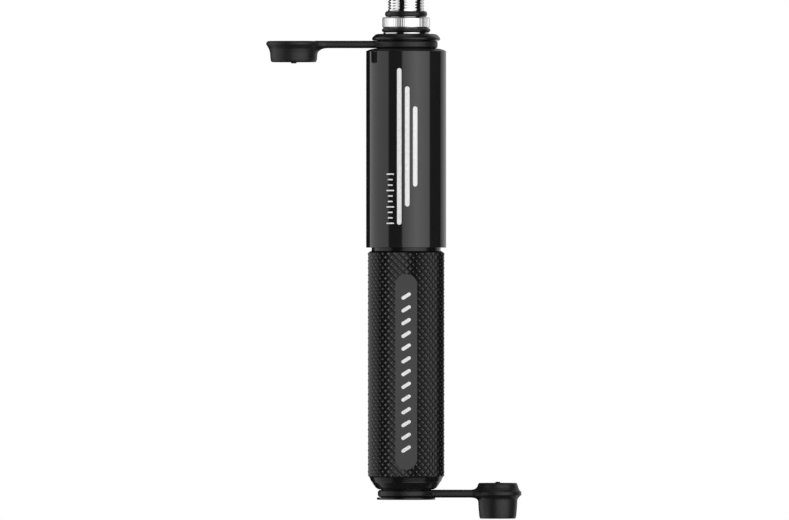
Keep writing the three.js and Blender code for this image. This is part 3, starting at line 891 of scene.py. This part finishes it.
def hose_tube():
    low, high = 47.6, 120.9
    outline = rounded([(1.5, low), (3.5, low, 0.2), (3.5, high, 0.2), (1.5, high)])
    return stands_for(turned("hose_tube_extruded", outline, SIDES["middle"]), "hose_tube")


def hose_small_parts():
    ferrule("schrader_ferrule_crimped", "schrader_ferrule", 113.2)
    ferrule("presta_ferrule_crimped", "presta_ferrule", 47.7)
    grommet = rounded([(1.7, 131.15, 0.2), (3.9, 131.15), (3.9, 133.2, 0.15), (1.7, 133.2, 0.35)])
    stands_for(turned("schrader_grommet_moulded", grommet, SIDES["middle"]), "schrader_grommet")
    pin = rounded([(0, 130.25), (2.12, 130.25), (2.12, 130.85), (0.7, 130.85), (0.7, 133.6, 0.2),
                   (0.25, 133.75), (0, 133.75)])
    stands_for(turned("schrader_pin_turned", pin, SIDES["small"]), "schrader_pin")
    grommet = rounded([(1.3, 33.5, 0.2), (2.85, 33.5), (2.85, 35.5), (1.3, 35.5, 0.2)])
    stands_for(turned("presta_grommet_moulded", grommet, SIDES["small"]), "presta_grommet")


def o_rings():
    """Each ring's inner and outer radius, and its lowest and highest point."""
    rings = {
        "schrader_store_oring": (5.23, 6.68, 128.48, 129.71),
        "schrader_thread_oring": (4.63, 5.82, 132.75, 134.35),
        "presta_thread_oring": (4.63, 5.7, 32.05, 33.6),
        "rod_wiper": (6.66, 7.2, 113.1, 114.9),
        "handle_bumper": (6.65, 8.9, 115.7, 117.1),
        "outlet_head_seal": (7.03, 8.17, 8.7, 10.5),
        "piston_rod_seal": (5.29, 5.96, 24.5, 25.9),
    }
    for cad_node, sizes in rings.items():
        stands_for(o_ring(cad_node + "_moulded", *sizes), cad_node)


# ---------------------------------------------------------------- tethers

def tether(name, whole, joints, cad_nodes):
    """Cuts a moulded ring, strap and cap half way between its hinge lines into one piece for each line, paints
    each piece in cap rubber and hides the nodes it stands for."""
    lines = [JOINTS[joint]["pos_m"][0] / MM for joint in joints]
    seams = [(a + b) / 2 for a, b in zip(lines, lines[1:])]
    away = 1 if lines[0] > 0 else -1
    cuts = [None, *seams, None]
    for i, line in enumerate(lines):
        near, far = (cuts[i], cuts[i + 1]) if away > 0 else (cuts[i + 1], cuts[i])
        piece = stretch_of(whole, f"{name}_{i + 1}", near, far)
        seam = seams[min(i, len(seams) - 1)]
        reach = min(abs(seam - line), STRAP["bend"])
        paint(piece, CAP_RUBBER)
        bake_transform(piece)
        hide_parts(*cad_nodes[i])
    bpy.data.objects.remove(whole)


def upper_tether():
    """The ring under the neck's flange, its strap, and the cap for the hose fitting's thread."""
    level, half = 125.2, 1.01
    cap_radius, cap_melt = 7.63, 2.2
    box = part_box("upper_cap")
    axis = box[0].x / MM + cap_radius
    ring = round_solid([(7.66, level - half, 0.35), (8.68, level - half, 0.85),
                        (8.68, level + half, 0.85), (7.66, level + half, 0.35)])
    bore = round_solid([(PAST_AXIS, level - 3), (7.66, level - 3),
                        (7.66, level + 3), (PAST_AXIS, level + 3)])
    strap = bar_solid(-8.1, axis + 6.6, level - half, level + half, STRAP["width"], STRAP["edge"])
    cup = round_solid([
        (PAST_AXIS, 119.97), (0.75, 119.97, 0.12), (0.8, 120.32, 0.05), (6.2, 120.32, 0.5),
        (6.42, 121.2, 0.6), (6.53, 122.9, 1.5), (6.85, 124.0, 1.2), (7.36, 124.85, 0.6),
        (cap_radius, 125.3, 0.35), (7.5, 125.8, 0.3), (7.0, 126.18, 0.15), (PAST_AXIS, 126.18),
    ], axis)
    hollow = round_solid([
        (PAST_AXIS, 121.86), (4.9, 121.86, 0.6), (5.35, 122.2), (5.87, 123.2), (6.32, 124.2),
        (6.57, 125.2), (6.72, 126.0, 0.1), (6.95, 126.4), (7.2, 128), (PAST_AXIS, 128),
    ], axis)
    band = between_levels(fused([ring, strap], RING_MELT), level - half, level + half)
    solid = between_levels(fused([band, cup], cap_melt), 119, level + half)
    field = hollowed(solid, hollow, bore)
    whole = moulded("upper_tether_whole", field, (axis - 8.2, -9.2, 119.6), (9.2, 9.2, 126.9))
    tether("upper_tether", whole,
           ["upper_strap_fold", "upper_strap_fold_middle", "upper_strap_fold_outer"],
           [["upper_cap_ring", "upper_strap_inner"], ["upper_strap_outer"], ["upper_cap"]])


def lower_tether():
    """The ring round the outlet, its strap, and the plug for the port."""
    level, half, cap_melt = 1.66, 1.08, 1.35
    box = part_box("lower_cap_plug")
    axis = (box[0].x + box[1].x) / 2 / MM
    ring = round_solid([(6.3, 0.7), (7.8, 0.7, 0.95), (7.8, 2.7, 0.95), (6.3, 2.7)])
    bore = round_solid([(PAST_AXIS, level - 3), (6.96, level - 3),
                        (6.96, level + 3), (PAST_AXIS, level + 3)])
    strap = bar_solid(7.3, axis - 4.5, level - half, level + half, STRAP["width"], STRAP["edge"])
    button = round_solid([
        (PAST_AXIS, -5.2), (4.92, -5.2, 0.3), (5.1, -4.4, 0.6), (5.3, -2.2, 0.6), (5.42, -0.05, 0.6),
        (5.62, 0.4, 0.8), (6.0, 0.85, 0.6), (6.5, 1.3, 0.25), (6.5, 2.15, 0.25),
        (6.0, 2.6, 0.4), (5.68, 3.3, 0.6), (5.4, 4.3, 0.3), (5.15, 4.62, 0.2), (0.7, 4.62, 0.06),
        (0.62, 4.95, 0.12), (PAST_AXIS, 4.95),
    ], axis)
    socket = round_solid([(PAST_AXIS, -8), (3.2, -8), (3.2, 0.2, 0.3), (PAST_AXIS, 0.2)], axis)
    band = between_levels(fused([ring, strap], RING_MELT), level - half, level + half)
    field = hollowed(fused([band, button], cap_melt), socket, bore)
    whole = moulded("lower_tether_whole", field, (-8.2, -8.2, -5.6), (axis + 7, 8.2, 5.4))
    tether("lower_tether", whole, ["lower_strap_fold", "lower_strap_fold_outer"],
           [["lower_cap_ring", "lower_strap"], ["lower_cap", "lower_cap_plug"]])


# ---------------------------------------------------------------- printed marks

def mark(length, width, centre, tilt, place):
    """The points and faces of one printed stadium, its length along the pump before it is tilted."""
    half, cap, columns, bend_steps = length / 2, width / 2, 7, 6
    bend = [cap * math.sin(math.pi / 2 * k / bend_steps) for k in range(bend_steps + 1)]
    middle = np.linspace(-(half - cap), half - cap, 9)[1:-1]
    along = [-(half - cap) - b for b in reversed(bend)] + list(middle) + [half - cap + b for b in bend]
    rows = len(along)
    points, faces = [], []
    for face_height in (INK, -INK):
        for t in along:
            over = max(0.0, abs(t) - (half - cap))
            edge = math.sqrt(max(cap * cap - over * over, 1e-6))
            for j in range(columns):
                s = edge * (2 * j / (columns - 1) - 1)
                x = centre[0] + s * math.cos(tilt) + t * math.sin(tilt)
                h = centre[1] + t * math.cos(tilt) - s * math.sin(tilt)
                points.append(place(x, h, face_height))
    layer = rows * columns
    for i in range(rows - 1):
        for j in range(columns - 1):
            a = i * columns + j
            quad = [a, a + 1, a + columns + 1, a + columns]
            faces.append(quad)
            faces.append([layer + k for k in reversed(quad)])
    rim = (list(range(columns)) + [i * columns + columns - 1 for i in range(1, rows)]
           + [(rows - 1) * columns + j for j in range(columns - 2, -1, -1)]
           + [i * columns for i in range(rows - 2, 0, -1)])
    for a, b in zip(rim, rim[1:] + rim[:1]):
        faces.append([a, layer + a, layer + b, b])
    return points, faces


def marks(name, body, shapes, place):
    """One thin piece for several marks, each given as (length, width, centre, tilt)."""
    points, faces = [], []
    for length, width, centre, tilt in shapes:
        more_points, more_faces = mark(length, width, centre, tilt, place)
        faces += [[k + len(points) for k in face] for face in more_faces]
        points += more_points
    obj = face_outwards(mesh_object(name, points, faces))
    paint(obj, INK_WHITE)
    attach(obj, body)
    return obj


def on_tube(x, h, lift):
    angle = x / TUBE_RADIUS
    return ((TUBE_RADIUS + lift) * math.sin(angle), -(TUBE_RADIUS + lift) * math.cos(angle), h)


def on_panel(x, h, lift):
    return (x, -(PANEL["flat"] + lift), h)


def printed_marks():
    """Plain stripes and ticks: they stand for no make or model."""
    middle = 97.1
    stripes = [(length, 1.25, (x, middle), 0) for length, x in ((43.0, -1.9), (33.0, 0.3), (22.0, 2.5))]
    ticks = [(1.5 if k % 3 else 2.3, 0.36, (-4.5, 76.0 + 1.5 * k), math.pi / 2) for k in range(10)]
    marks("handle_stripes", "handle", stripes + ticks, on_tube)
    slashes = [(2.9, 0.95, (0, 14.0 + 3.5 * k), math.radians(58)) for k in range(13)]
    marks("panel_slashes", "barrel", slashes, on_panel)


# ---------------------------------------------------------------- camera, light and floor

def camera():
    """A long lens, level with the pump's middle, straight in front of it."""
    width_at_pump, shift_right, shift_down = 0.21698, 0.00022, 0.00068
    lens, sensor = 1100.0, 36.0
    low, high = (Vector(corner) for corner in CAD_BOX)
    aim = (low + high) / 2 + Vector((shift_right, 0, -shift_down))
    data = bpy.data.cameras.new("camera")
    data.lens = lens
    data.sensor_width = sensor
    data.clip_start = 0.1
    data.clip_end = 40
    obj = bpy.data.objects.new("camera", data)
    obj.location = (aim.x, -width_at_pump * lens / sensor, aim.z)
    obj.rotation_euler = (math.pi / 2, 0, 0)
    bpy.context.scene.collection.objects.link(obj)
    bpy.context.scene.camera = obj


# Upright softboxes round the pump: brightness by direction in degrees, 0 to the front and 90 to +X.
STUDIO = [
    (-180, 0), (-131, 0), (-128, 1.3), (-54, 1.05), (-50, 0), (-14, 0), (-9, 1.15),
    (12, 1.8), (30, 2.25), (50, 1.9), (70, 1.4), (74, 0), (117, 0), (121, 0.5), (136, 0.7),
    (156, 0.85), (168, 0.3), (180, 0.1),
]
STUDIO_PEAK = 2.4
SOFTBOX_TOP = (0.42, 0.88)  # sine of the elevation where a softbox starts to fade and where it ends
OVERHEAD = {"from": 0.93, "full": 0.99, "strength": 0.7}  # and the same for the light straight above
DIM = 0.006  # light from every direction
FLOOR = {"drop": 0.02, "radius": 0.3, "sides": 96}
FLOOR_LAMP = {"height": 1.0, "size": 1.2, "watts": 8.0}


def studio():
    """A white background to the camera, and softboxes to everything else."""
    world = bpy.data.worlds.new("studio")
    bpy.context.scene.world = world
    world.use_nodes = True
    world.node_tree.nodes.clear()

    place = node(world, "ShaderNodeTexCoord")
    split = node(world, "ShaderNodeSeparateXYZ")
    link(world, place.outputs["Generated"], split.inputs["Vector"])
    toward = math_node(world, "MULTIPLY", split.outputs["Y"], -1.0)
    azimuth = math_node(world, "ARCTAN2", split.outputs["X"], toward)
    share = math_node(world, "ADD", math_node(world, "DIVIDE", azimuth, 2 * math.pi), 0.5)
    ramp = node(world, "ShaderNodeValToRGB")
    stops = ramp.color_ramp.elements
    for i, (direction, brightness) in enumerate(STUDIO):
        position = direction / 360 + 0.5
        stop = stops[i] if i < 2 else stops.new(position)
        stop.position = position
        stop.color = (*gray(brightness / STUDIO_PEAK), 1)
    link(world, share, ramp.inputs["Fac"])
    around = math_node(world, "MULTIPLY", ramp.outputs["Color"], STUDIO_PEAK)

    level = math_node(world, "ABSOLUTE", split.outputs["Z"])
    fade = node(world, "ShaderNodeMapRange", From_Min=SOFTBOX_TOP[0], From_Max=SOFTBOX_TOP[1],
                To_Min=1, To_Max=0)
    fade.interpolation_type = "SMOOTHSTEP"
    link(world, level, fade.inputs["Value"])
    rise = node(world, "ShaderNodeMapRange", From_Min=OVERHEAD["from"], From_Max=OVERHEAD["full"])
    rise.interpolation_type = "SMOOTHSTEP"
    link(world, split.outputs["Z"], rise.inputs["Value"])
    above = math_node(world, "MULTIPLY", rise.outputs["Result"], OVERHEAD["strength"])
    lit = math_node(world, "MULTIPLY", around, fade.outputs["Result"])
    light = math_node(world, "ADD", math_node(world, "ADD", lit, above), DIM)

    softboxes = node(world, "ShaderNodeBackground", Color=(1, 1, 1, 1))
    link(world, light, softboxes.inputs["Strength"])
    white = node(world, "ShaderNodeBackground", Color=(1, 1, 1, 1))
    path = node(world, "ShaderNodeLightPath")
    mix = node(world, "ShaderNodeMixShader")
    out = node(world, "ShaderNodeOutputWorld")
    link(world, path.outputs["Is Camera Ray"], mix.inputs["Fac"])
    link(world, softboxes.outputs["Background"], mix.inputs[1])
    link(world, white.outputs["Background"], mix.inputs[2])
    link(world, mix.outputs["Shader"], out.inputs["Surface"])
    bpy.context.scene.view_settings.view_transform = "Standard"


def floor():
    """A pale disc under the pump, which is seen but isn't mirrored in it."""
    below = CAD_BOX[0][2] - FLOOR["drop"]
    angles = [2 * math.pi * k / FLOOR["sides"] for k in range(FLOOR["sides"])]
    rim = [(FLOOR["radius"] * math.cos(a), FLOOR["radius"] * math.sin(a), below) for a in angles]
    mesh = bpy.data.meshes.new("floor")
    mesh.from_pydata(rim, [], [list(range(FLOOR["sides"]))])
    obj = bpy.data.objects.new("floor", mesh)
    bpy.context.scene.collection.objects.link(obj)
    paint(obj, floor_paint())
    obj.visible_glossy = False


def floor_lamp():
    """A wide lamp straight above, which keeps the floor pale and isn't mirrored in the pump."""
    data = bpy.data.lights.new("floor_lamp", "AREA")
    data.size = FLOOR_LAMP["size"]
    data.energy = FLOOR_LAMP["watts"]
    obj = bpy.data.objects.new("floor_lamp", data)
    obj.location = (0, 0, FLOOR_LAMP["height"])
    obj.visible_glossy = False
    obj.visible_camera = False
    bpy.context.scene.collection.objects.link(obj)


# ---------------------------------------------------------------- the pump

camera()
studio()
floor()
floor_lamp()

for cad_name, cad_object in frame["nodes"].items():
    paint(cad_object, FINISHES[SLOT_OF[cad_name]])

barrel_tube()
grip_sleeve()
outlet_head()
rod_gland()
check_valve()
bleed_spring()
handle_tube()
handle_neck()
piston_rod()
schrader_fitting()
presta_fitting()
hose_tube()
hose_small_parts()
o_rings()
upper_tether()
lower_tether()
printed_marks()
